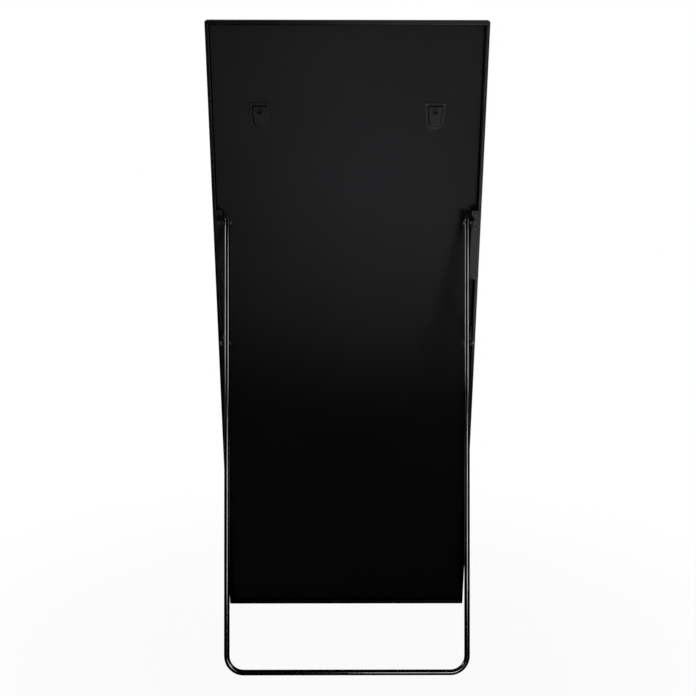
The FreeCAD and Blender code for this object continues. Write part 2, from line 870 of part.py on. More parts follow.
def assembled():
    """All pieces standing on the floor, centred over the origin."""
    nodes = panel_nodes()
    for name, shape in stand_nodes().items():
        moved = shape.copy()
        moved.rotate(Vector(0, 0, 0), Vector(1, 0, 0), opening_angle)
        moved.translate(Vector(0, pivot_offset, pivot_height))
        nodes[name] = moved
    for shape in nodes.values():
        shape.translate(Vector(0, foot_rear_inset, foot_rear_thickness))
        shape.rotate(Vector(0, 0, 0), Vector(1, 0, 0), -degrees(lean))
    shift = centring_shift()
    for shape in nodes.values():
        shape.translate(Vector(0, shift, 0))
    return nodes


def centring_shift():
    """Move along Y that centres the depth of the object over the origin."""
    bar = to_floor((0.0, pivot_offset + leg_length * sin(opening), pivot_height - leg_length * cos(opening)))
    front = to_floor((0.0, rail_round / 2.0 - frame_depth, 0.0)).y
    return -(front + bar.y + tube_radius) / 2.0


def main():
    os.makedirs("parts", exist_ok=True)
    for name, shape in assembled().items():
        shape.exportStep(os.path.join("parts", name + ".step"))


if __name__ == "__main__":
    main()
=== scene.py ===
import json
from math import acos, cos, pi, radians, sin, sqrt, tan

import bmesh
import bpy
from bpy.props import FloatProperty, FloatVectorProperty, PointerProperty
from mathutils import Matrix, Vector


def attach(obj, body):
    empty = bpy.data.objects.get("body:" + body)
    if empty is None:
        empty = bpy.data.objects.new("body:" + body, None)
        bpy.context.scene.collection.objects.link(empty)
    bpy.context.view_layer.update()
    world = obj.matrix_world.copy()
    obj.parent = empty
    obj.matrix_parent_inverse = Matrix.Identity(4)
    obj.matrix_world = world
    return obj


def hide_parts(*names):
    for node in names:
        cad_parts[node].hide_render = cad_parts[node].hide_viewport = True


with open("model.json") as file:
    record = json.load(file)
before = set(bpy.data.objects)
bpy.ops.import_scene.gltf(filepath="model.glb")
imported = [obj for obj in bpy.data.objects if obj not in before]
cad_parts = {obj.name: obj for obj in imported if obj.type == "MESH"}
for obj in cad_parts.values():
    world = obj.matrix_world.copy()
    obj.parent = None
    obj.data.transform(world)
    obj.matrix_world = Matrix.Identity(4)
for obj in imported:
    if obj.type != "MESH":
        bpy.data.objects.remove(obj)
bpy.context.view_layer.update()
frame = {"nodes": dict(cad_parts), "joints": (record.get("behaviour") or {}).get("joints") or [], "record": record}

bl_info = {
    "name": "Leaning floor mirror",
    "version": (1, 0, 0),
    "blender": (4, 5, 0),
    "location": "3D View > Sidebar > Floor mirror",
    "description": "Models and finishes a leaning floor mirror and its folding stand",
    "category": "Add Mesh",
}

ACROSS = Vector((1.0, 0.0, 0.0))
REARWARD = Vector((0.0, 1.0, 0.0))
UPWARD = Vector((0.0, 0.0, 1.0))
SIDES = {"left": Matrix.Scale(-1.0, 4, ACROSS), "right": Matrix.Identity(4)}

# Edges sharper than this stay crisp in the shading
CREASE = radians(32.0)
# Vertices nearer to each other than this are one, in metres
WELD = 1e-6
# Radius of a round end, as a share of the half width that it closes
ROUND_END = 0.98

BLACK = (0.0, 0.0, 0.0, 1.0)
WHITE = (1.0, 1.0, 1.0, 1.0)
DUST = (0.16, 0.155, 0.15, 1.0)


# --------------------------------------------------
# Axes and sizes read from the frame


def entry(rows, name):
    """Row of the packed record that has this name."""
    return next(row for row in rows if row["name"] == name)


def joint_place(name):
    """Place of a joint, in metres."""
    return Vector(entry(frame["joints"], name)["pos_m"])


def axes(origin, rearward):
    """Matrix of axes that run across, rearward and upward from an origin."""
    rearward = Vector((0.0, rearward.y, rearward.z)).normalized()
    turn = Matrix((ACROSS, rearward, ACROSS.cross(rearward))).transposed().to_4x4()
    return Matrix.Translation(Vector((0.0, origin.y, origin.z))) @ turn


def span(points):
    """Lowest and highest corner of a set of points."""
    return tuple(Vector([pick(point[i] for point in points) for i in range(3)]) for pick in (min, max))


def span_of(node, basis):
    """Lowest and highest corner of a CAD node in a set of axes."""
    inverse = basis.inverted()
    return span([inverse @ vertex.co for vertex in frame["nodes"][node].data.vertices])


def solid_spans(node, basis):
    """Lowest and highest corner of each separate solid of a CAD node, in a set of axes."""
    inverse = basis.inverted()
    shape = bmesh.new()
    shape.from_mesh(frame["nodes"][node].data)
    bmesh.ops.remove_doubles(shape, verts=shape.verts, dist=WELD)
    left = set(shape.verts)
    spans = []
    while left:
        front = [left.pop()]
        points = []
        while front:
            vertex = front.pop()
            points.append(inverse @ vertex.co)
            linked = {edge.other_vert(vertex) for edge in vertex.link_edges} & left
            left -= linked
            front += linked
        spans.append(span(points))
    shape.free()
    return sorted(spans, key=lambda corners: tuple(corners[0]))


def panel_axes():
    """Axes of the panel, from the middle of its bottom edge in the plane of the rear rim."""
    normal = Vector(entry(frame["record"]["mounts"], "hanger_left")["axis"])
    turned = axes(Vector((0.0, 0.0, 0.0)), normal)
    low, high = span_of("frame_rail_bottom", turned)
    return turned @ Matrix.Translation((0.0, high.y, low.z))


rail_pin = joint_place("rail_link_fold_right")
leg_pin = joint_place("leg_link_fold_right")
pivot = joint_place("stand_fold")

PANEL = panel_axes()
STAND = axes(pivot, (pivot - leg_pin).cross(ACROSS))
STAY = axes(rail_pin, leg_pin - rail_pin)


# --------------------------------------------------
# Settings


def size(name, default, description):
    """Length property in metres."""
    return FloatProperty(name=name, default=default, description=description, subtype="DISTANCE",
                         unit="LENGTH", precision=5, min=0.0)


def colour(name, default, description):
    """Colour property."""
    return FloatVectorProperty(name=name, default=default, description=description, subtype="COLOR",
                               min=0.0, max=1.0)


def share(name, default, description):
    """Property between nothing and one."""
    return FloatProperty(name=name, default=default, description=description, subtype="FACTOR",
                         min=0.0, max=1.0)


def position(name, default, description):
    """Place along an axis, in metres."""
    return FloatProperty(name=name, default=default, description=description, unit="LENGTH")


def angle(name, degrees, description):
    """Angle given in degrees and kept in radians."""
    return FloatProperty(name=name, default=radians(degrees), description=description, unit="ROTATION")


def power(name, default, description):
    """Power of a lamp, in watts."""
    return FloatProperty(name=name, default=default, description=description, unit="POWER", min=0.0)


class MirrorPanelSettings(bpy.types.PropertyGroup):
    """Sizes of the frame, its hangers and its feet."""

    rim_outer_round: size("Outer rim edge", 0.0004, "Rounding of the frame's outer rear edge")
    rim_inner_round: size("Inner rim edge", 0.0030, "Rounding of the frame's inner rear edge")
    front_round: size("Front edge", 0.0006, "Rounding of the frame's front edges")
    corner_round: size("Frame corner", 0.003, "Rounding of the frame's four corners")
    lip: size("Glass lip", 0.008, "Width of the lip over the glass")
    rail_wall: size("Rail wall", 0.0013, "Wall of the aluminium rails")
    mitre_gap: size("Mitre gap", 0.00012, "Half of the hairline between two rails")
    hanger_sheet: size("Hanger sheet", 0.0012, "Thickness of the pressed hangers")
    hanger_flange: size("Hanger flange", 0.0065, "Width of the flat flange round a hanger")
    hanger_slope: size("Hanger slope", 0.0022, "Run of the sloped side of a hanger")
    hanger_taper: size("Hanger taper", 0.004, "How much narrower a hanger is at its foot, each side")
    hanger_corner: size("Hanger corner", 0.003, "Rounding of a hanger's upper corners")
    hanger_foot: size("Hanger foot", 0.014, "Rounding of a hanger's lower corners")
    keyhole: size("Keyhole radius", 0.0045, "Radius of the round part of a keyhole")
    keyhole_slot: size("Keyhole slot", 0.0024, "Half width of the slot of a keyhole")
    keyhole_rise: size("Keyhole rise", 0.009, "Height of the slot's end over the round part")
    keyhole_drop: size("Keyhole drop", 0.020, "Drop from a hanger's top to its keyhole")
    foot_edge: size("Foot edge", 0.0004, "Rounding of the rubber feet's edges")


class MirrorStandSettings(bpy.types.PropertyGroup):
    """Sizes of the stand, its hinges and its stays."""

    bend: size("Tube bend", 0.038, "Centre-line radius of the stand's two bends")
    cap_dome: size("Cap dome", 0.0016, "Rounding of the plugs in the legs")
    plate: size("Hinge plate", 0.002, "Thickness of the hinge plates")
    plate_bend: size("Plate bend", 0.0016, "Inner radius of the bend between plate and ear")
    plate_corner: size("Plate corner", 0.003, "Rounding of the hinge plates' corners")
    plate_edge: size("Plate edge", 0.0003, "Rounding of the edges of plates and links")
    ear: size("Ear radius", 0.009, "Radius of the round end of a hinge's ear")
    ear_flare: size("Ear flare", 0.003, "How much wider an ear is at its root, each side")
    ear_relief: size("Ear relief", 0.0005, "Slit beside the root of an ear")
    spare_hole: size("Spare hole", 0.0022, "Radius of the unused hole in a hinge plate")
    spare_hole_rise: size("Spare hole rise", 0.0055, "Height of the unused hole over the pivot")
    crank_start: size("Crank start", 0.014, "Where the rail's link starts to bend inward")
    crank_end: size("Crank end", 0.031, "Where the rail's link has bent inward")


class MirrorFinishSettings(bpy.types.PropertyGroup):
    """Colours and gloss of the finishes."""

    anodised: colour("Anodised frame", (0.009, 0.009, 0.0095), "Black anodised aluminium")
    board: colour("Back board", (0.0105, 0.0108, 0.0118), "Black paper face of the back board")
    powder: colour("Powder coat", (0.0075, 0.0075, 0.008), "Black powder coat on plates and links")
    plating: colour("Black plating", (0.085, 0.085, 0.088), "Glossy black plating on the stand")
    plastic: colour("Plastic", (0.012, 0.012, 0.0125), "Black moulded plastic")
    rubber: colour("Rubber", (0.022, 0.022, 0.022), "Black rubber")
    steel: colour("Blackened steel", (0.13, 0.13, 0.135), "Blackened steel of the fasteners")
    silver: colour("Mirror", (0.88, 0.90, 0.89), "Silver of the mirror behind its glass")
    plating_roughness: share("Plating roughness", 0.11, "Roughness of the stand's plating")
    wear: share("Wear", 0.35, "How much dust and rubbing the finishes show")


class MirrorStageSettings(bpy.types.PropertyGroup):
    """Camera, lamps and floor."""

    lens: FloatProperty(name="Lens", default=57.06, min=1.0,
                        description="Focal length on a 36 mm sensor, in millimetres")
    camera_across: position("Camera across", 0.0122, "Camera's place, across")
    camera_behind: position("Camera behind", 2.5458, "Camera's place, behind the mirror")
    camera_height: position("Camera height", 1.1585, "Camera's height")
    camera_pitch: angle("Camera pitch", 9.876, "How far the camera looks down")
    camera_yaw: angle("Camera yaw", 0.332, "How far the camera looks aside")
    camera_roll: angle("Camera roll", 0.070, "How far the camera tips")
    floor: colour("Floor", (0.40, 0.40, 0.40), "Plain pale floor")
    floor_radius: size("Floor radius", 7.0, "Radius of the round floor")
    key_power: power("Key lamp", 3.3, "Power of the low lamp that lights the board")
    fill_power: power("Fill lamp", 30.0, "Power of the soft lamp in front of the glass")
    strip_power: power("Strip lamps", 10.0, "Power of each lamp beside the stand, seen in reflections")
    low_power: power("Low lamp", 20.0, "Power of the low lamp behind the camera, seen in reflections")
    drape_start: position("Drape start", -0.22, "Where the drapes start on the floor")
    drape_radius: size("Drape radius", 3.6, "Radius of the dark drapes that the gloss reflects")
    ambient: share("Ambient light", 0.22, "Strength of the even light from all round")


# --------------------------------------------------
# Node materials


class Amount:
    """A number in a material, on which Python's own operators build the Math nodes."""

    def __init__(self, finish, socket):
        self.finish = finish
        self.socket = socket

    def math(self, operation, first, second):
        node = self.finish.node("ShaderNodeMath", {"operation": operation}, {0: first, 1: second})
        return Amount(self.finish, node.outputs[0])

    def __add__(self, other):
        return self.math("ADD", self, other)

    def __radd__(self, other):
        return self.math("ADD", other, self)

    def __sub__(self, other):
        return self.math("SUBTRACT", self, other)

    def __rsub__(self, other):
        return self.math("SUBTRACT", other, self)

    def __mul__(self, other):
        return self.math("MULTIPLY", self, other)

    def __rmul__(self, other):
        return self.math("MULTIPLY", other, self)

    def larger(self, other):
        return self.math("MAXIMUM", self, other)

    def smooth(self, low, high):
        """Nothing up to low, one from high on, and a smooth rise between them."""
        node = self.finish.node("ShaderNodeMapRange", {"interpolation_type": "SMOOTHSTEP"},
                                {"Value": self, "From Min": low, "From Max": high})
        return Amount(self.finish, node.outputs[0])


class Finish:
    """A node material and the nodes it is made of."""

    def __init__(self, name):
        self.material = bpy.data.materials.new(name)
        self.material.use_nodes = True
        self.tree = self.material.node_tree
        self.tree.nodes.clear()
        self.coordinates = self.node("ShaderNodeTexCoord").outputs["Object"]

    def node(self, kind, settings=None, sockets=None):
        """New node: its settings first, then the values or links of its sockets."""
        made = self.tree.nodes.new(kind)
        for name, value in (settings or {}).items():
            setattr(made, name, value)
        for key, value in (sockets or {}).items():
            source = value.socket if isinstance(value, Amount) else value
            if isinstance(source, bpy.types.NodeSocket):
                self.tree.links.new(source, made.inputs[key])
            else:
                made.inputs[key].default_value = source
        return made

    def noise(self, scale, detail, stretch=(1.0, 1.0, 1.0)):
        """Cloudy noise of a scale per metre, optionally stretched along the axes."""
        where = self.node("ShaderNodeVectorMath", {"operation": "MULTIPLY"},
                          {0: self.coordinates, 1: stretch})
        made = self.node("ShaderNodeTexNoise", sockets={
            "Vector": where.outputs[0], "Scale": scale, "Detail": detail, "Roughness": 0.55})
        return Amount(self, made.outputs[0])

    def cells(self, scale):
        """Distance to the nearest of scattered points."""
        made = self.node("ShaderNodeTexVoronoi", sockets={"Vector": self.coordinates, "Scale": scale})
        return Amount(self, made.outputs["Distance"])

    def facing_up(self):
        """How much a surface faces the ceiling."""
        normal = self.node("ShaderNodeNewGeometry").outputs["Normal"]
        return Amount(self, self.node("ShaderNodeSeparateXYZ", sockets={0: normal}).outputs["Z"])

    def blend(self, factor, first, second):
        """Colour between two others."""
        made = self.node("ShaderNodeMix", {"data_type": "RGBA"}, {0: factor, 6: first, 7: second})
        return made.outputs[2]

    def clouded(self, clouds, rgb, low, high):
        """Colour that drifts between two gains as the clouds do."""
        return self.blend(clouds.smooth(0.3, 0.7), solid(rgb, low), solid(rgb, high))

    def relief(self, height, distance, strength):
        """Bumped normal from a height in units of a distance in metres."""
        return self.node("ShaderNodeBump", sockets={
            "Height": height, "Distance": distance, "Strength": strength}).outputs[0]

    def done(self, **sockets):
        """Closes the material with a Principled shader on these sockets."""
        named = {key.replace("_", " "): value for key, value in sockets.items()}
        return self.closed(self.node("ShaderNodeBsdfPrincipled", sockets=named))

    def closed(self, shader):
        """Closes the material with a shader."""
        self.node("ShaderNodeOutputMaterial", sockets={"Surface": shader.outputs[0]})
        return self.material


def solid(rgb, gain=1.0):
    """Opaque colour, brighter or darker by a gain."""
    return tuple(channel * gain for channel in rgb) + (1.0,)


def dust(finish, wear):
    """Fine dust that lies where a surface faces up, thicker in patches, with a few specks."""
    lying = finish.facing_up().smooth(0.25, 0.95)
    patches = finish.noise(9.0, 4.0).smooth(0.35, 0.75)
    specks = 1.0 - finish.cells(420.0).smooth(0.05, 0.14)
    scattered = finish.noise(38.0, 2.0).smooth(0.60, 0.72)
    return lying * patches * (0.35 * wear) + specks * scattered * (0.4 * wear)


def anodised_aluminium(name, look, along):
    """Satin black anodising with faint drawing lines along the rail."""
    finish = Finish(name)
    lines = finish.noise(1500.0, 2.0, along)
    clouds = finish.noise(14.0, 4.0)
    grain = finish.noise(5200.0, 2.0)
    dirt = dust(finish, look.wear)
    tone = finish.clouded(clouds, look.anodised, 0.86, 1.14)
    return finish.done(
        Base_Color=finish.blend(dirt, tone, DUST),
        Roughness=0.28 + 0.10 * lines + 0.08 * clouds + 0.3 * dirt,
        Normal=finish.relief(lines + 0.6 * grain, 0.00003, 0.35),
        Metallic=1.0 - dirt,
        Specular_Tint=BLACK,
    )


def board_paper(look):
    """Satin black paper on fibreboard: fine pebbled grain, faint clouds and rub marks."""
    finish = Finish("board_black")
    pebbles = finish.noise(2600.0, 2.0)
    fibres = finish.noise(300.0, 4.0, (1.0, 1.0, 0.35))
    clouds = finish.noise(3.2, 5.0)
    rubs = finish.noise(26.0, 3.0, (1.0, 1.0, 0.12)).smooth(0.66, 0.80)
    dirt = dust(finish, look.wear)
    tone = finish.blend(clouds.smooth(0.25, 0.75), solid(look.board, 0.88), solid(look.board, 1.12))
    rubbed = finish.blend(rubs * (0.35 * look.wear), tone, solid(look.board, 1.9))
    return finish.done(
        Base_Color=finish.blend(dirt * 0.6, rubbed, DUST),
        Roughness=0.56 + 0.08 * clouds + 0.06 * fibres - 0.10 * rubs,
        Normal=finish.relief(pebbles + 0.5 * fibres, 0.00006, 0.45),
        Specular_IOR_Level=0.04,
    )


def powder_coat(name, look, gloss):
    """Satin black powder coat with its fine orange peel, rubbed at random."""
    finish = Finish(name)
    peel = finish.noise(1100.0, 2.0)
    clouds = finish.noise(40.0, 4.0)
    chips = finish.noise(320.0, 5.0).smooth(0.72, 0.76)
    dirt = dust(finish, look.wear)
    tone = finish.clouded(clouds, look.powder, 0.85, 1.15)
    chipped = finish.blend(chips * (0.5 * look.wear), tone, solid(look.steel, 1.4))
    return finish.done(
        Base_Color=finish.blend(dirt, chipped, DUST),
        Roughness=0.40 + 0.08 * clouds + 0.06 * peel + 0.2 * dirt,
        Normal=finish.relief(peel, 0.00006, 0.3),
        Specular_IOR_Level=gloss,
    )


def black_plating(look):
    """Glossy black plating on the tube, with a slight waviness and fine rub marks."""
    finish = Finish("tube_black")
    peel = finish.noise(140.0, 1.0)
    clouds = finish.noise(18.0, 4.0)
    rubs = finish.noise(90.0, 4.0, (1.0, 1.0, 0.2)).smooth(0.62, 0.80)
    dirt = dust(finish, look.wear)
    tone = finish.clouded(clouds, look.plating, 0.85, 1.2)
    return finish.done(
        Base_Color=finish.blend(dirt * 0.7, tone, DUST),
        Metallic=1.0 - dirt,
        Roughness=look.plating_roughness + 0.04 * clouds + 0.06 * rubs + 0.3 * dirt,
        Normal=finish.relief(peel, 0.00003, 0.05),
        Specular_Tint=BLACK,
    )


def moulded_plastic(name, look, gain):
    """Black plastic with a fine spark-eroded texture."""
    finish = Finish(name)
    grain = finish.noise(3000.0, 2.0)
    clouds = finish.noise(60.0, 3.0)
    dirt = dust(finish, look.wear)
    tone = finish.clouded(clouds, look.plastic, 0.9 * gain, 1.15 * gain)
    return finish.done(
        Base_Color=finish.blend(dirt, tone, DUST),
        Roughness=0.42 + 0.10 * grain + 0.05 * clouds,
        Normal=finish.relief(grain, 0.00004, 0.5),
        Specular_IOR_Level=0.2,
    )


def blackened_steel(name, look, gain):
    """Blackened steel, brighter where tools and washers rub it."""
    finish = Finish(name)
    rubs = finish.noise(700.0, 4.0).smooth(0.50, 0.74)
    grain = finish.noise(4200.0, 2.0)
    dark, bright = solid(look.steel, 0.6 * gain), solid(look.steel, 2.0 * gain)
    return finish.done(
        Base_Color=finish.blend(rubs * (0.5 + look.wear), dark, bright),
        Metallic=1.0,
        Roughness=0.30 + 0.16 * grain - 0.08 * rubs,
        Normal=finish.relief(grain, 0.00002, 0.4),
    )


def key_casting():
    """Plain cast aluminium of the corner keys."""
    finish = Finish("key_metal")
    grain = finish.noise(1800.0, 3.0)
    return finish.done(
        Base_Color=finish.blend(grain, (0.42, 0.42, 0.43, 1.0), (0.60, 0.60, 0.61, 1.0)),
        Metallic=1.0,
        Roughness=0.40 + 0.15 * grain,
        Normal=finish.relief(grain, 0.00004, 0.5),
    )


def mirror_silver(look):
    """Silvered glass with the faintest haze of wiping and a few specks."""
    finish = Finish("mirror_silver")
    haze = finish.noise(5.0, 5.0, (1.0, 1.0, 0.5)).smooth(0.45, 0.80)
    swirls = finish.noise(60.0, 4.0, (1.0, 1.0, 0.25)).smooth(0.60, 0.82)
    waves = finish.noise(2.4, 1.0)
    return finish.done(
        Base_Color=finish.blend(haze * (0.3 * look.wear), solid(look.silver), solid(look.silver, 0.93)),
        Metallic=1.0,
        Roughness=0.012 + 0.030 * haze * swirls,
        Normal=finish.relief(waves, 0.0002, 0.05),
    )


def foam_sheet_finish():
    """Open-celled grey foam."""
    finish = Finish("foam_grey")
    holes = finish.cells(900.0)
    return finish.done(
        Base_Color=finish.blend(holes, (0.10, 0.10, 0.105, 1.0), (0.26, 0.26, 0.27, 1.0)),
        Roughness=0.85 + 0.1 * holes,
        Normal=finish.relief(holes, 0.0003, 0.8),
    )


def foot_rubber(look):
    """Matt rubber, scuffed and dusty at the floor."""
    finish = Finish("foot_rubber")
    grain = finish.noise(1500.0, 3.0)
    scuffs = finish.noise(160.0, 4.0, (0.3, 1.0, 1.0)).smooth(0.56, 0.76)
    return finish.done(
        Base_Color=finish.blend(scuffs * look.wear, solid(look.rubber), DUST),
        Roughness=0.72 + 0.15 * grain,
        Normal=finish.relief(grain, 0.00008, 0.6),
        Specular_IOR_Level=0.3,
    )


finishes = {}


def make_finishes(look):
    """Every finish of the mirror, by its name."""
    finishes.update({
        "rail_across": anodised_aluminium("frame_black_across", look, (0.02, 1.0, 1.0)),
        "rail_upright": anodised_aluminium("frame_black_upright", look, (1.0, 1.0, 0.02)),
        "board": board_paper(look),
        "plate": powder_coat("plate_black", look, 0.10),
        "hanger": powder_coat("hanger_black", look, 0.08),
        "tube": black_plating(look),
        # The blocks' plastic is a darker copy of the caps' plastic (0.4 gain), as painted shade: seen through the
        # hinge plates' holes and beside them, it stands for the shade under the plates
        "block": moulded_plastic("block_plastic", look, 0.4),
        "cap": moulded_plastic("cap_plastic", look, 1.0),
        "screw": blackened_steel("screw_black", look, 0.25),
        "bolt": blackened_steel("bolt_steel", look, 1.0),
        "key": key_casting(),
        "mirror": mirror_silver(look),
        "foam": foam_sheet_finish(),
        "foot": foot_rubber(look),
    })


# --------------------------------------------------
# Shapes


def rounded(corners, steps=6):
    """Closed outline through (a, b, radius) corners, each rounded by an arc."""
    points = []
    for i, (a, b, radius) in enumerate(corners):
        here = Vector((a, b))
        if radius <= 0.0:
            points.append(here)
            continue
        back = (Vector(corners[i - 1][:2]) - here).normalized()
        ahead = (Vector(corners[(i + 1) % len(corners)][:2]) - here).normalized()
        half = back.angle(ahead) / 2.0
        centre = here + (back + ahead).normalized() * (radius / sin(half))
        first = here + back * (radius / tan(half)) - centre
        last = here + ahead * (radius / tan(half)) - centre
        turn = first.angle(last)
        for k in range(steps + 1):
            part = turn * k / steps
            points.append(centre + (first * sin(turn - part) + last * sin(part)) / sin(turn))
    return points


def hole(a, b, radius, count=28):
    """Clockwise circle, for a hole in a plate."""
    return [Vector((a + radius * cos(2.0 * pi * k / count), b - radius * sin(2.0 * pi * k / count)))
            for k in range(count)]


def drawn_in(points, distance):
    """Outline moved to the left of its direction, which is into the plate."""
    moved = []
    for i, point in enumerate(points):
        back = (point - points[i - 1]).normalized()
        ahead = (points[(i + 1) % len(points)] - point).normalized()
        middle = (back + ahead).normalized()
        left = Vector((-middle.y, middle.x))
        moved.append(point + left * distance / max(0.4, middle.dot(back)))
    return moved


def ring_of(shape, points, height):
    """Vertices of an outline at a height."""
    return [shape.verts.new((point.x, point.y, height)) for point in points]


def walls(shape, rings):
    """Faces between each ring and the next, which has as many vertices."""
    for first, second in zip(rings, rings[1:]):
        for i in range(len(first)):
            shape.faces.new((first[i - 1], first[i], second[i], second[i - 1]))


def lids(shape, rings):
    """Faces that close the first and the last ring."""
    shape.faces.new(rings[0])
    shape.faces.new(rings[-1])


def fill(shape, rings):
    """Flat face inside the first ring and outside the others."""
    edges = [shape.edges.get((ring[i - 1], ring[i])) for ring in rings for i in range(len(ring))]
    bmesh.ops.triangle_fill(shape, edges=edges, use_beauty=True)


def plate(loops, low, high, edge):
    """Plate between two heights on an outer loop and its holes, with softened edges."""
    shape = bmesh.new()
    levels = ((edge, low), (0.3 * edge, low + 0.3 * edge), (0.0, low + edge),
              (0.0, high - edge), (0.3 * edge, high - 0.3 * edge), (edge, high))
    floors = []
    ceilings = []
    for loop in loops:
        rings = [ring_of(shape, drawn_in(loop, inset), height) for inset, height in levels]
        walls(shape, rings)
        floors.append(rings[0])
        ceilings.append(rings[-1])
    fill(shape, floors)
    fill(shape, ceilings)
    return shape


def lathe(profile, turns=32):
    """Solid of revolution about the third axis, from (radius, height) points."""
    shape = bmesh.new()
    chain = [shape.verts.new((point[0], 0.0, point[1])) for point in profile]
    edges = [shape.edges.new(pair) for pair in zip(chain, chain[1:])]
    bmesh.ops.spin(shape, geom=chain + edges, axis=UPWARD, cent=(0.0, 0.0, 0.0), angle=2.0 * pi,
                   steps=turns, use_merge=True)
    bmesh.ops.remove_doubles(shape, verts=shape.verts, dist=WELD)
    return shape


def new_object(name, shape, material=None):
    """Object made of a shape, in the scene."""
    mesh = bpy.data.meshes.new(name)
    shape.to_mesh(mesh)
    shape.free()
    if material:
        mesh.materials.append(material)
    made = bpy.data.objects.new(name, mesh)
    bpy.context.scene.collection.objects.link(made)
    return made


def added(whole, part, matrix):
    """Adds a copy of one shape to another."""
    mesh = bpy.data.meshes.new("copy")
    part.to_mesh(mesh)
    mesh.transform(matrix)
    if matrix.determinant() < 0.0:
        mesh.flip_normals()
    whole.from_mesh(mesh)
    bpy.data.meshes.remove(mesh)


def carved(shape, cutter):
    """Shape with a cutter's volume taken out."""
    things = []
    for part in (shape, cutter):
        bmesh.ops.recalc_face_normals(part, faces=part.faces)
        things.append(new_object("carving", part))
    change = things[0].modifiers.new("carve", "BOOLEAN")
    change.object = things[1]
    change.operation = "DIFFERENCE"
    change.solver = "EXACT"
    change.use_self = True
    graph = bpy.context.evaluated_depsgraph_get()
    mesh = bpy.data.meshes.new_from_object(things[0].evaluated_get(graph))
    result = bmesh.new()
    result.from_mesh(mesh)
    for thing in things:
        bpy.data.objects.remove(thing)
    return result


def bent(shape, cuts, normal, bend):
    """Shape cut across at each of the places, then bent by a function of a point."""
    for place in cuts:
        whole = shape.verts[:] + shape.edges[:] + shape.faces[:]
        bmesh.ops.bisect_plane(shape, geom=whole, plane_co=normal * place, plane_no=normal)
    for vertex in shape.verts:
        vertex.co = bend(vertex.co)
    return shape


def remapped(shape, order):
    """Shape whose coordinates are taken in another order."""
    for vertex in shape.verts:
        vertex.co = Vector([vertex.co[i] for i in order])
    return shape


def place(name, shape, basis, body, slot, finish, nodes):
    """Object made of a shape drawn in a set of axes, which rides on a body and stands for CAD nodes."""
    bmesh.ops.remove_doubles(shape, verts=shape.verts, dist=WELD)
    bmesh.ops.recalc_face_normals(shape, faces=shape.faces)
    for face in shape.faces:
        face.smooth = True
    for edge in shape.edges:
        edge.smooth = edge.calc_face_angle(pi) < CREASE
    piece = new_object(name, shape, finishes[finish])
    piece.data.transform(basis)
    if basis.determinant() < 0.0:
        piece.data.flip_normals()
    shading = piece.modifiers.new("flat faces stay flat", "WEIGHTED_NORMAL")
    shading.keep_sharp = True
    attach(piece, body)
    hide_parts(*nodes)


def finish_node(node, finish):
    """Gives a CAD node that keeps its shape its finish."""
    for material_slot in frame["nodes"][node].material_slots:
        material_slot.material = finishes[finish]


# --------------------------------------------------
# Frame and sheets


def rail_profile(sizes, depth, rim, glass_front, board_rear):
    """Outline (rearward, inward) of a rail's section."""
    hidden_round = 0.0002
    return rounded([
        (0.0, 0.0, sizes.rim_outer_round),
        (0.0, rim, sizes.rim_inner_round),
        (board_rear, rim, hidden_round),
        (board_rear, sizes.rail_wall, 0.0),
        (glass_front, sizes.rail_wall, 0.0),
        (glass_front, sizes.lip, hidden_round),
        (-depth, sizes.lip, sizes.front_round),
        (-depth, 0.0, sizes.front_round),
    ], steps=5)


def mitred_bar(profile, length, corner, gap, steps=5):
    """Bottom rail: sections that follow the rounded corner up to the mitre at each end."""
    shape = bmesh.new()
    end = length / 2.0
    halves = []
    for side in (-1.0, 1.0):
        sections = []
        for k in range(steps + 1):
            turn = pi / 4.0 * k / steps
            drawn = corner * (1.0 - cos(turn))
            reach = end - corner + corner * sin(turn)
            insides = [(rearward, max(inward, drawn)) for rearward, inward in profile]
            sections.append([shape.verts.new((side * (min(reach, end - inside) - gap), rearward, inside))
                             for rearward, inside in insides])
        halves.append(sections)
    left, right = halves
    rings = left[::-1] + right
    walls(shape, rings)
    lids(shape, rings)
    return shape


def frame_rails(sizes):
    """The four mitred rails."""
    low, high = span_of("frame_rail_bottom", PANEL)
    width = 2.0 * span_of("frame_rail_right", PANEL)[1].x
    depth = high.y - low.y
    rim = high.z - low.z
    height = span_of("frame_rail_top", PANEL)[1].z
    glass_front = span_of("mirror_glass", PANEL)[0].y
    board_rear = span_of("back_board", PANEL)[1].y
    profile = rail_profile(sizes, depth, rim, glass_front, board_rear)
    centre = Matrix.Translation((0.0, 0.0, height / 2.0))
    for name, length, half_span, turn, finish in (
            ("bottom", width, height / 2.0, 0.0, "rail_across"),
            ("left", height, width / 2.0, pi / 2.0, "rail_upright"),
            ("top", width, height / 2.0, pi, "rail_across"),
            ("right", height, width / 2.0, -pi / 2.0, "rail_upright")):
        shape = mitred_bar(profile, length, sizes.corner_round, sizes.mitre_gap)
        basis = PANEL @ centre @ Matrix.Rotation(turn, 4, "Y")
        basis = basis @ Matrix.Translation((0.0, 0.0, -half_span))
        place("rail_" + name, shape, basis, "mirror", "frame_black", finish, ["frame_rail_" + name])


# --------------------------------------------------
# Hangers


def shield(sizes, width, height, inset):
    """Outline of a hanger from its top edge down, clockwise from its upper left corner."""
    half = width / 2.0 - inset
    foot = half - sizes.hanger_taper
    tightest = 0.0008
    top = sizes.hanger_corner if inset == 0.0 else max(tightest, sizes.hanger_corner - 0.3 * inset)
    return rounded([
        (-half, -inset, top),
        (half, -inset, top),
        (foot, inset - height, sizes.hanger_foot - inset),
        (-foot, inset - height, sizes.hanger_foot - inset),
    ], steps=8)


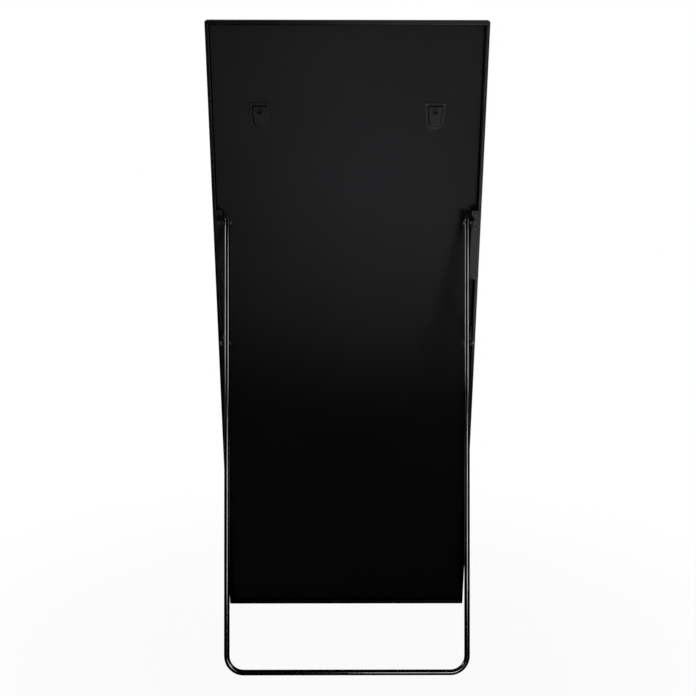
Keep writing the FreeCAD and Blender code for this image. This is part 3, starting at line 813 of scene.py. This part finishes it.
def keyhole(sizes, grow, steps=17):
    """Outline of a keyhole, clockwise from the left side of its slot."""
    slot = sizes.keyhole_slot + grow
    circle = sizes.keyhole + grow
    middle = -sizes.keyhole_drop
    end = middle + sizes.keyhole_rise - sizes.keyhole_slot
    start = acos(slot / circle)
    points = []
    for radius, height, first, turn in ((slot, end, pi, pi), (circle, middle, start, pi + 2.0 * start)):
        angles = [first - turn * k / steps for k in range(steps + 1)]
        points += [Vector((radius * cos(angle), height + radius * sin(angle))) for angle in angles]
    return points


def hanger_shape(sizes, width, height, base, rear):
    """Pressed shield with its flange, sloped sides and keyhole, hollow behind."""
    sheet = sizes.hanger_sheet
    flange = sizes.hanger_flange
    raised = flange + sizes.hanger_slope
    # Run of the narrow slopes that round the pressed and punched edges
    soft = 0.00025
    pressed = [(shield(sizes, width, height, inset), depth) for inset, depth in (
        (raised, rear - sheet), (flange + sheet, base), (0.0, base), (0.0, base + sheet - soft),
        (soft, base + sheet), (flange - 2.0 * soft, base + sheet), (flange, base + sheet + soft),
        (raised - 2.0 * soft, rear - soft), (raised + soft, rear))]
    punched = [(keyhole(sizes, grow), depth) for grow, depth in (
        (0.0, rear - sheet), (0.0, rear - soft), (soft, rear))]
    shape = bmesh.new()
    sleeves = [[ring_of(shape, points, depth) for points, depth in levels]
               for levels in (pressed, punched)]
    for rings in sleeves:
        walls(shape, rings)
    fill(shape, [rings[0] for rings in sleeves])
    fill(shape, [rings[-1] for rings in sleeves])
    return remapped(shape, (0, 2, 1))


def hangers(sizes):
    """Both hanger plates."""
    for side in SIDES:
        node = "hanger_plate_" + side
        low, high = span_of(node, PANEL)
        shape = hanger_shape(sizes, high.x - low.x, high.z - low.z, low.y, high.y)
        spot = Matrix.Translation(((low.x + high.x) / 2.0, 0.0, high.z))
        place("hanger_" + side, shape, PANEL @ spot, "mirror", "plate_black", "hanger", [node])


# --------------------------------------------------
# Fasteners


def cross_cutter(head, height, reach, half, depth):
    """Cross for a driver's recess, narrower at its foot, in shares of the head's radius and height."""
    reach, half, depth = head * reach, head * half, height * depth
    shape = bmesh.new()
    for turn in (0.0, pi / 2.0):
        turned = Matrix.Rotation(turn, 2)
        rings = []
        for along, across, level in (
                (0.55 * reach, 0.7 * half, height - depth), (reach, half, height + depth)):
            corners = ((-along, -across), (along, -across), (along, across), (-along, across))
            rings.append(ring_of(shape, [turned @ Vector(corner) for corner in corners], level))
        walls(shape, rings)
        lids(shape, rings)
    return shape


def hexagon(width):
    """Corners of a hexagon of this width across its flats, anticlockwise."""
    corner = width / 2.0 / cos(pi / 6.0)
    return [Vector((corner * cos(i * pi / 3.0), corner * sin(i * pi / 3.0))) for i in range(6)]


def headed(head, length, height, shank, dome, recess=""):
    """Screw, bolt or rivet: shank below the seat, domed head above it."""
    shape = lathe(rounded([
        (0.0, height - length, 0.0),
        (shank, height - length, shank * 0.3),
        (shank, 0.0, 0.0),
        (head, 0.0, 0.0),
        (head, height, dome * height),
        (0.0, height, 0.0),
    ]))
    if recess == "cross":
        return carved(shape, cross_cutter(head, height, reach=0.62, half=0.13, depth=0.55))
    if recess == "hexagon":
        floor, mouth, edge = height * 0.35, height * 1.5, 0.0001
        return carved(shape, plate([hexagon(head * 0.85)], floor, mouth, edge))
    return shape


def sunk(head, length, height, shank):
    """Countersunk screw whose flat head ends level with its plate."""
    return lathe([(0.0, height - length), (shank, height - length), (shank, shank - head + height),
                  (head, height), (0.0, height)])


def heading(aim, centre):
    """Way that a fastener's head faces: rear, or inward or outward along the mirror's width."""
    if aim == "rear":
        return REARWARD
    return ACROSS * (1.0 if (centre.x > 0.0) == (aim == "outward") else -1.0)


# Head height, shank radius and dome of a rivet or pin, as in the rows below
RIVET = (0.0013, 0.0025, 0.85)

# node, name of the piece, body, axes, way that the heads face, finish, form,
# and the form's head height and shank radius in metres, dome as a share of the height, and recess
FASTENERS = (
    ("hanger_screws", "hanger_screw_heads", "mirror", PANEL, "rear", "screw",
     headed, (0.0011, 0.0014, 0.8, "cross")),
    ("hinge_screws", "hinge_screw_heads", "mirror", PANEL, "rear", "screw",
     headed, (0.0022, 0.0020, 0.8, "cross")),
    ("stay_mount_screws", "mount_screw_heads", "mirror", PANEL, "inward", "screw", sunk, (0.0, 0.00175)),
    ("stay_rail_pins", "rail_pin_heads", "mirror", PANEL, "inward", "bolt", headed, RIVET),
    ("pivot_bolts", "pivot_bolt_heads", "stand", STAND, "inward", "bolt",
     headed, (0.0026, 0.0030, 0.7, "hexagon")),
    ("stay_bolts", "stay_bolt_heads", "stand", STAND, "inward", "bolt",
     headed, (0.0020, 0.0025, 0.7, "hexagon")),
) + tuple(
    ("elbow_rivet_" + half + side, "elbow_" + half + side, link + side, STAY, aim, "bolt", headed, RIVET)
    for half, link, aim in (("outer_", "rail_link_", "outward"), ("inner_", "leg_link_", "inward"))
    for side in SIDES
)


def seated(spans, aim, make):
    """Copies of one fastener, each along its own solid with its head at the end that it faces."""
    whole = bmesh.new()
    for low, high in spans:
        centre = (low + high) / 2.0
        half = (high - low) / 2.0
        direction = heading(aim, centre)
        reach = abs(direction.dot(half))
        radius = max(abs(value) for value in half - direction * direction.dot(half))
        shape, top = make(radius, 2.0 * reach)
        turn = UPWARD.rotation_difference(direction).to_matrix().to_4x4()
        added(whole, shape, Matrix.Translation(centre + direction * (reach - top)) @ turn)
        shape.free()
    return whole


def fasteners():
    """Every screw, bolt and rivet."""
    for node, name, body, basis, aim, finish, form, details in FASTENERS:
        def make(radius, length):
            return form(radius, length, *details), details[0]
        whole = seated(solid_spans(node, basis), aim, make)
        place(name, whole, basis, body, "screw_steel", finish, [node])


def nut(radius, length):
    """Nut with chamfered corners and the bolt's end in it."""
    chamfer = 0.0004
    return plate([hexagon(radius * 2.0 * cos(pi / 6.0))], 0.0, length, chamfer), length


def washer(radius, length):
    """Round washer or spacer with softened edges."""
    edge = 0.0003
    profile = rounded([(0.0, 0.0, 0.0), (radius, 0.0, edge), (radius, length, edge), (0.0, length, 0.0)])
    return lathe(profile), length


# node, name of the piece, form, slot, finish
LEG_RINGS = (
    ("pivot_nuts", "pivot_nut_pair", nut, "screw_steel", "bolt"),
    ("stay_nuts", "stay_nut_pair", nut, "screw_steel", "bolt"),
    ("pivot_spacers", "pivot_spacer_pair", washer, "cap_plastic", "cap"),
    ("stay_washers", "stay_washer_pair", washer, "cap_plastic", "cap"),
)


def leg_rings():
    """Nuts, washers and spacers of the legs."""
    for node, name, form, slot, finish in LEG_RINGS:
        whole = seated(solid_spans(node, STAND), "outward", form)
        place(name, whole, STAND, "stand", slot, finish, [node])


# --------------------------------------------------
# Hinges


def hinge_flat(sizes, low, high, fold, reach, pivot_z, spare_x):
    """Flat pattern (across, up) of a hinge plate whose ear sticks out past the fold."""
    root = sizes.ear + sizes.ear_flare
    corner = sizes.plate_corner
    outline = rounded([
        (low.x, low.z, corner),
        (high.x, low.z, corner),
        (high.x, high.z, corner),
        (low.x, high.z, corner),
        (low.x, pivot_z + root, 0.0),
        (fold, pivot_z + root, 0.0),
        (fold, pivot_z + root - sizes.ear_relief, 0.0),
        (fold - reach, pivot_z + sizes.ear, sizes.ear * ROUND_END),
        (fold - reach, pivot_z - sizes.ear, sizes.ear * ROUND_END),
        (fold, pivot_z - root + sizes.ear_relief, 0.0),
        (fold, pivot_z - root, 0.0),
        (low.x, pivot_z - root, 0.0),
    ], steps=8)
    spare = hole(spare_x, pivot_z + sizes.spare_hole_rise, sizes.spare_hole)
    return plate([outline, spare], 0.0, sizes.plate, sizes.plate_edge)


def hinge_shape(sizes):
    """Right-hand hinge plate: long flange on the rim, ear bent to the rear."""
    low, high = span_of("hinge_plate_right", PANEL)
    pivot_z = (PANEL.inverted() @ pivot).z
    inner = sizes.plate_bend
    neutral = inner + sizes.plate / 2.0
    fold = low.x + sizes.plate + inner
    quarter = neutral * pi / 2.0
    reach = quarter + high.y - sizes.plate - inner
    screw_low, screw_high = solid_spans("hinge_screws", PANEL)[0]
    screw_x = span_of("hinge_screws", PANEL)[1].x - (screw_high.x - screw_low.x) / 2.0
    root = sizes.ear + sizes.ear_flare - sizes.ear_relief / 2.0

    def bend(point):
        run = fold - point.x
        if run <= 0.0 or abs(point.y - pivot_z) > root:
            return point
        radius = inner + sizes.plate - point.z
        turn = min(run / neutral, pi / 2.0)
        return Vector((fold - radius * sin(turn), point.y,
                       sizes.plate + inner - radius * cos(turn) + max(0.0, run - quarter)))

    flat = hinge_flat(sizes, low, high, fold, reach, pivot_z, screw_x)
    parts = 6
    cuts = [fold - quarter * k / parts for k in range(parts + 1)]
    return remapped(bent(flat, cuts, ACROSS, bend), (0, 2, 1))


def hinges(sizes):
    """Both hinge plates."""
    for side, mirror in SIDES.items():
        place("hinge_" + side, hinge_shape(sizes), PANEL @ mirror, "mirror", "plate_black", "plate",
              ["hinge_plate_" + side])


# --------------------------------------------------
# Stays


def strip(start, end, width, low, high, edge):
    """Flat link along the second axis with round ends."""
    half = width / 2.0
    outline = rounded([(across, along, half * ROUND_END) for across, along in (
        (-half, start), (half, start), (half, end), (-half, end))], steps=10)
    return plate([outline], low, high, edge)


def rail_link_shape(sizes, thick):
    """Right-hand link from the rail's pin, bent inward to the plane of the elbow."""
    low, high = span_of("stay_rail_link_right", STAY)
    width = high.z - low.z
    link_plane = high.x - thick
    shift = low.x - link_plane
    run = sizes.crank_end - sizes.crank_start

    def bend(point):
        part = min(1.0, max(0.0, (point.y - sizes.crank_start) / run))
        eased = part * part * (3.0 - 2.0 * part)
        return point + Vector((0.0, 0.0, shift * eased))

    flat = strip(low.y, high.y, width, link_plane, link_plane + thick, sizes.plate_edge)
    parts = 10
    cuts = [sizes.crank_start + run * k / parts for k in range(parts + 1)]
    return remapped(bent(flat, cuts, REARWARD, bend), (2, 1, 0))


def stays(sizes):
    """Links and mounts of both stays."""
    low, high = span_of("stay_leg_link_right", STAY)
    foot, head = span_of("stay_mount_right", PANEL)
    rail = PANEL @ Matrix.Translation((0.0, (foot.y + head.y) / 2.0, 0.0))
    edge = sizes.plate_edge
    for side, mirror in SIDES.items():
        rail_link = rail_link_shape(sizes, high.x - low.x)
        leg_link = remapped(strip(low.y, high.y, high.z - low.z, low.x, high.x, edge), (2, 1, 0))
        mount = remapped(strip(foot.z, head.z, head.y - foot.y, foot.x, head.x, edge), (2, 0, 1))
        for name, shape, basis, body, node in (
                ("rail_link_strip_", rail_link, STAY, "rail_link_" + side, "stay_rail_link_"),
                ("leg_link_strip_", leg_link, STAY, "leg_link_" + side, "stay_leg_link_"),
                ("stay_base_", mount, rail, "mirror", "stay_mount_")):
            place(name + side, shape, basis @ mirror, body, "plate_black", "plate", [node + side])


# --------------------------------------------------
# Stand


def tube_path(half, top, bottom, bend, steps=14):
    """Centre line (across, up) of the U from the right leg's top round to the left leg's."""
    right = [(half, top)]
    for k in range(steps + 1):
        turn = pi / 2.0 * k / steps
        right.append((half - bend * (1.0 - cos(turn)), bottom + bend * (1.0 - sin(turn))))
    return right + [(-across, up) for across, up in reversed(right)]


def stand_shape(sizes, count=36):
    """Bent tube: round sections square to the centre line."""
    low, high = span_of("stand_tube", STAND)
    radius = (high.y - low.y) / 2.0
    path = tube_path(high.x - radius, high.z, low.z + radius, sizes.bend)
    shape = bmesh.new()
    rings = []
    for i, (across, up) in enumerate(path):
        before = Vector(path[max(0, i - 1)])
        after = Vector(path[min(len(path) - 1, i + 1)])
        ahead = (after - before).normalized()
        side = Vector((ahead.y, 0.0, -ahead.x))
        turns = [2.0 * pi * k / count for k in range(count)]
        rings.append([shape.verts.new(Vector((across, 0.0, up)) + side * (radius * cos(turn))
                                      + REARWARD * (radius * sin(turn))) for turn in turns])
    walls(shape, rings)
    return shape


def cap_shape(sizes, radius, length):
    """Plug whose dome closes a leg, with a thin rim that rests on the tube."""
    neck = radius * 0.8
    rim_foot, rim_edge = -0.002, -0.0018
    return lathe(rounded([(0.0, -length, 0.0), (neck, -length, 0.0), (neck, rim_foot, 0.0),
                          (radius, rim_edge, 0.0), (radius, 0.0, sizes.cap_dome), (0.0, 0.0, 0.0)]))


def stand(sizes):
    """Bent tube and its two caps."""
    place("stand_bow", stand_shape(sizes), STAND, "stand", "tube_black", "tube", ["stand_tube"])
    caps = bmesh.new()
    for low, high in solid_spans("tube_caps", STAND):
        cap = cap_shape(sizes, (high.x - low.x) / 2.0, high.z - low.z)
        added(caps, cap, Matrix.Translation(((low.x + high.x) / 2.0, 0.0, high.z)))
        cap.free()
    place("leg_caps", caps, STAND, "stand", "cap_plastic", "cap", ["tube_caps"])


# --------------------------------------------------
# Feet


def feet(sizes):
    """Rubber wedges with softened edges, level on the floor."""
    slope = PANEL.col[2].y / PANEL.col[2].z
    shape = bmesh.new()
    for low, high in solid_spans("wedge_feet", PANEL):
        rear = low.z + (high.y - low.y) * slope
        outline = ((low.y, low.z), (high.y, rear), (high.y, high.z), (low.y, high.z))
        wedge = plate([[Vector(point) for point in outline]], low.x, high.x, sizes.foot_edge)
        added(shape, remapped(wedge, (2, 0, 1)), Matrix.Identity(4))
        wedge.free()
    place("wedge_foot_pair", shape, PANEL, "mirror", "foot_rubber", "foot", ["wedge_feet"])


# --------------------------------------------------
# Stage


def add_rays(tree):
    """Camera rays, and the rays that reflections and glass send out."""
    rays = tree.node("ShaderNodeLightPath").outputs
    seen = Amount(tree, rays["Is Camera Ray"])
    mirrored = Amount(tree, rays["Is Glossy Ray"]).larger(Amount(tree, rays["Is Transmission Ray"]))
    return seen, mirrored


def floor_finish(stage):
    """Pale floor that keeps the shadow near the mirror and fades to white further out."""
    finish = Finish("floor_pale")
    where = finish.node("ShaderNodeVectorMath", {"operation": "LENGTH"}, {0: finish.coordinates})
    distance = Amount(finish, where.outputs["Value"])
    seen, mirrored = add_rays(finish)
    white = seen.larger(mirrored) * (0.95 + 0.05 * distance.smooth(0.4, 1.4))
    diffuse = finish.node("ShaderNodeBsdfDiffuse", sockets={"Color": solid(stage.floor)}).outputs[0]
    light = finish.node("ShaderNodeEmission", sockets={"Color": WHITE, "Strength": 1.0}).outputs[0]
    return finish.closed(finish.node("ShaderNodeMixShader", sockets={0: white, 1: diffuse, 2: light}))


def add_floor(stage):
    """Round floor."""
    shape = bmesh.new()
    bmesh.ops.create_circle(shape, cap_ends=True, segments=64, radius=stage.floor_radius)
    new_object("floor", shape, floor_finish(stage))


class Surroundings(Finish):
    """The world's nodes, made by the same methods as a material's."""

    def __init__(self, name):
        self.world = bpy.data.worlds.new(name)
        self.world.use_nodes = True
        self.tree = self.world.node_tree
        self.tree.nodes.clear()


def add_world(stage):
    """Even light from all round, seen as white."""
    made = Surroundings("studio")
    light, white = [made.node("ShaderNodeBackground", sockets={"Color": WHITE, "Strength": strength})
                    for strength in (stage.ambient, 1.0)]
    seen, mirrored = add_rays(made)
    mixed = made.node("ShaderNodeMixShader", sockets={
        0: seen.larger(mirrored), 1: light.outputs[0], 2: white.outputs[0]})
    made.node("ShaderNodeOutputWorld", sockets={"Surface": mixed.outputs[0]})
    bpy.context.scene.world = made.world


def add_drapes(stage):
    """Dark drapes over the stand's side and along the floor there, which only reflections show."""
    shape = bmesh.new()
    bmesh.ops.create_uvsphere(shape, u_segments=64, v_segments=32, radius=stage.drape_radius)
    reach = stage.drape_radius
    for normal, level in ((UPWARD, 0.0), (REARWARD, -0.35 * reach)):
        whole = shape.verts[:] + shape.edges[:] + shape.faces[:]
        bmesh.ops.bisect_plane(shape, geom=whole, plane_co=normal * level, plane_no=normal,
                               clear_inner=True)
    start = stage.drape_start
    lift = 0.002
    across = sqrt(reach * reach - start * start)
    corners = ((-across, start), (across, start), (across, reach), (-across, reach))
    shape.faces.new([shape.verts.new((x, y, lift)) for x, y in corners])
    finish = Finish("drape_cloth")
    folds = finish.noise(3.0, 3.0, (1.0, 1.0, 0.1))
    cloth = finish.node("ShaderNodeBsdfDiffuse", sockets={
        "Color": finish.blend(folds, (0.004, 0.004, 0.004, 1.0), (0.012, 0.012, 0.012, 1.0))})
    drapes = new_object("drapes", shape, finish.closed(cloth))
    for ray in ("camera", "diffuse", "shadow", "transmission"):
        setattr(drapes, "visible_" + ray, False)


# name, place, point that it faces, width and height in metres, setting of its power, spread,
# and the kinds of rays that don't meet it, besides the camera's
LAMPS = (
    ("key_lamp", (-0.50, 1.02, 0.15), (0.09, 0.05, 1.54), 0.45, 0.30, "key_power", radians(62.0), ()),
    ("fill_lamp", (0.6, -2.2, 2.2), (0.0, 0.0, 0.7), 1.8, 1.4, "fill_power", pi, ("glossy",)),
    ("left_strip", (2.00, 0.55, 1.07), (0.0, 0.08, 0.9), 0.80, 0.70, "strip_power", pi, ("diffuse",)),
    ("right_strip", (-1.55, 1.50, 1.14), (0.0, 0.08, 0.9), 0.70, 0.62, "strip_power", pi, ("diffuse",)),
    ("low_lamp", (-0.56, 2.95, 0.45), (0.0, 0.15, 0.45), 1.00, 0.86, "low_power", pi, ("diffuse",)),
)


def add_lamps(stage):
    """Soft rectangular lamps."""
    for name, at, to, width, height, setting, spread, unseen in LAMPS:
        data = bpy.data.lights.new(name, "AREA")
        data.shape = "RECTANGLE"
        data.size = width
        data.size_y = height
        data.energy = getattr(stage, setting)
        data.spread = spread
        lamp = bpy.data.objects.new(name, data)
        lamp.location = at
        lamp.rotation_euler = (Vector(to) - Vector(at)).to_track_quat("-Z", "Y").to_euler()
        for ray in ("camera",) + unseen:
            setattr(lamp, "visible_" + ray, False)
        bpy.context.scene.collection.objects.link(lamp)


def add_camera(stage):
    """Camera at the photograph's place."""
    data = bpy.data.cameras.new("camera")
    data.lens = stage.lens
    data.sensor_width = 36.0
    camera = bpy.data.objects.new("camera", data)
    camera.location = (stage.camera_across, stage.camera_behind, stage.camera_height)
    yaw = Matrix.Rotation(pi - stage.camera_yaw, 3, "Z")
    pitch = Matrix.Rotation(pi / 2.0 - stage.camera_pitch, 3, "X")
    camera.rotation_euler = (yaw @ pitch @ Matrix.Rotation(stage.camera_roll, 3, "Z")).to_euler()
    bpy.context.scene.collection.objects.link(camera)
    bpy.context.scene.camera = camera


def add_stage(stage):
    """Floor, surroundings, lamps and camera."""
    add_floor(stage)
    add_world(stage)
    add_drapes(stage)
    add_lamps(stage)
    add_camera(stage)
    bpy.context.scene.view_settings.view_transform = "Standard"


# --------------------------------------------------
# Operators


class MIRROR_OT_finishes(bpy.types.Operator):
    """Make the node materials of every finish"""

    bl_idname = "mirror.finishes"
    bl_label = "Finishes"

    def execute(self, context):
        make_finishes(context.scene.mirror_finish)
        return {"FINISHED"}


class MIRROR_OT_frame_rails(bpy.types.Operator):
    """Build the four mitred rails of the frame"""

    bl_idname = "mirror.frame_rails"
    bl_label = "Frame rails"

    def execute(self, context):
        frame_rails(context.scene.mirror_panel)
        return {"FINISHED"}


class MIRROR_OT_sheets(bpy.types.Operator):
    """Finish the glass, the foam, the back board and the keys inside the frame"""

    bl_idname = "mirror.sheets"
    bl_label = "Glass and board"

    def execute(self, context):
        for node, finish in (("mirror_glass", "mirror"), ("foam_sheet", "foam"), ("back_board", "board"),
                             ("corner_keys", "key"), ("corner_screws", "screw")):
            finish_node(node, finish)
        return {"FINISHED"}


class MIRROR_OT_hangers(bpy.types.Operator):
    """Build the two hanger plates with their keyholes"""

    bl_idname = "mirror.hangers"
    bl_label = "Hanger plates"

    def execute(self, context):
        hangers(context.scene.mirror_panel)
        return {"FINISHED"}


class MIRROR_OT_hinges(bpy.types.Operator):
    """Build the two hinge plates and finish the blocks under them"""

    bl_idname = "mirror.hinges"
    bl_label = "Hinge plates"

    def execute(self, context):
        hinges(context.scene.mirror_stand)
        for side in SIDES:
            # The blocks get the darkened plastic, which is painted shade under the hinge plates
            finish_node("hinge_block_" + side, "block")
        return {"FINISHED"}


class MIRROR_OT_stays(bpy.types.Operator):
    """Build the links and mounts of the two folding stays"""

    bl_idname = "mirror.stays"
    bl_label = "Folding stays"

    def execute(self, context):
        stays(context.scene.mirror_stand)
        return {"FINISHED"}


class MIRROR_OT_stand(bpy.types.Operator):
    """Build the bent tube of the stand and its caps"""

    bl_idname = "mirror.stand"
    bl_label = "Stand"

    def execute(self, context):
        stand(context.scene.mirror_stand)
        return {"FINISHED"}


class MIRROR_OT_fasteners(bpy.types.Operator):
    """Build the screws, bolts, rivets, nuts, washers and spacers"""

    bl_idname = "mirror.fasteners"
    bl_label = "Fasteners"

    def execute(self, context):
        fasteners()
        leg_rings()
        return {"FINISHED"}


class MIRROR_OT_feet(bpy.types.Operator):
    """Build the two rubber wedges under the frame"""

    bl_idname = "mirror.feet"
    bl_label = "Wedge feet"

    def execute(self, context):
        feet(context.scene.mirror_panel)
        return {"FINISHED"}


class MIRROR_OT_stage(bpy.types.Operator):
    """Set up the floor, the lamps and the camera"""

    bl_idname = "mirror.stage"
    bl_label = "Stage"

    def execute(self, context):
        add_stage(context.scene.mirror_stage)
        return {"FINISHED"}


OPERATORS = (
    MIRROR_OT_finishes,
    MIRROR_OT_frame_rails,
    MIRROR_OT_sheets,
    MIRROR_OT_hangers,
    MIRROR_OT_hinges,
    MIRROR_OT_stays,
    MIRROR_OT_stand,
    MIRROR_OT_fasteners,
    MIRROR_OT_feet,
    MIRROR_OT_stage,
)

SETTINGS = {
    "mirror_panel": MirrorPanelSettings,
    "mirror_stand": MirrorStandSettings,
    "mirror_finish": MirrorFinishSettings,
    "mirror_stage": MirrorStageSettings,
}


class VIEW3D_PT_floor_mirror(bpy.types.Panel):
    """Lists the settings and the steps of the mirror"""

    bl_idname = "VIEW3D_PT_floor_mirror"
    bl_label = "Floor mirror"
    bl_space_type = "VIEW_3D"
    bl_region_type = "UI"
    bl_category = "Floor mirror"

    def draw(self, context):
        for operator in OPERATORS:
            self.layout.operator(operator.bl_idname)
        for name, group in SETTINGS.items():
            box = self.layout.box()
            box.label(text=group.__doc__)
            for key in group.__annotations__:
                box.prop(getattr(context.scene, name), key)


def register():
    for name, group in SETTINGS.items():
        bpy.utils.register_class(group)
        setattr(bpy.types.Scene, name, PointerProperty(type=group))
    for operator in OPERATORS:
        bpy.utils.register_class(operator)
    bpy.utils.register_class(VIEW3D_PT_floor_mirror)


def unregister():
    bpy.utils.unregister_class(VIEW3D_PT_floor_mirror)
    for operator in reversed(OPERATORS):
        bpy.utils.unregister_class(operator)
    for name, group in SETTINGS.items():
        delattr(bpy.types.Scene, name)
        bpy.utils.unregister_class(group)


def main():
    register()
    for operator in OPERATORS:
        group, name = operator.bl_idname.split(".")
        getattr(getattr(bpy.ops, group), name)()


if __name__ == "__main__":
    main()
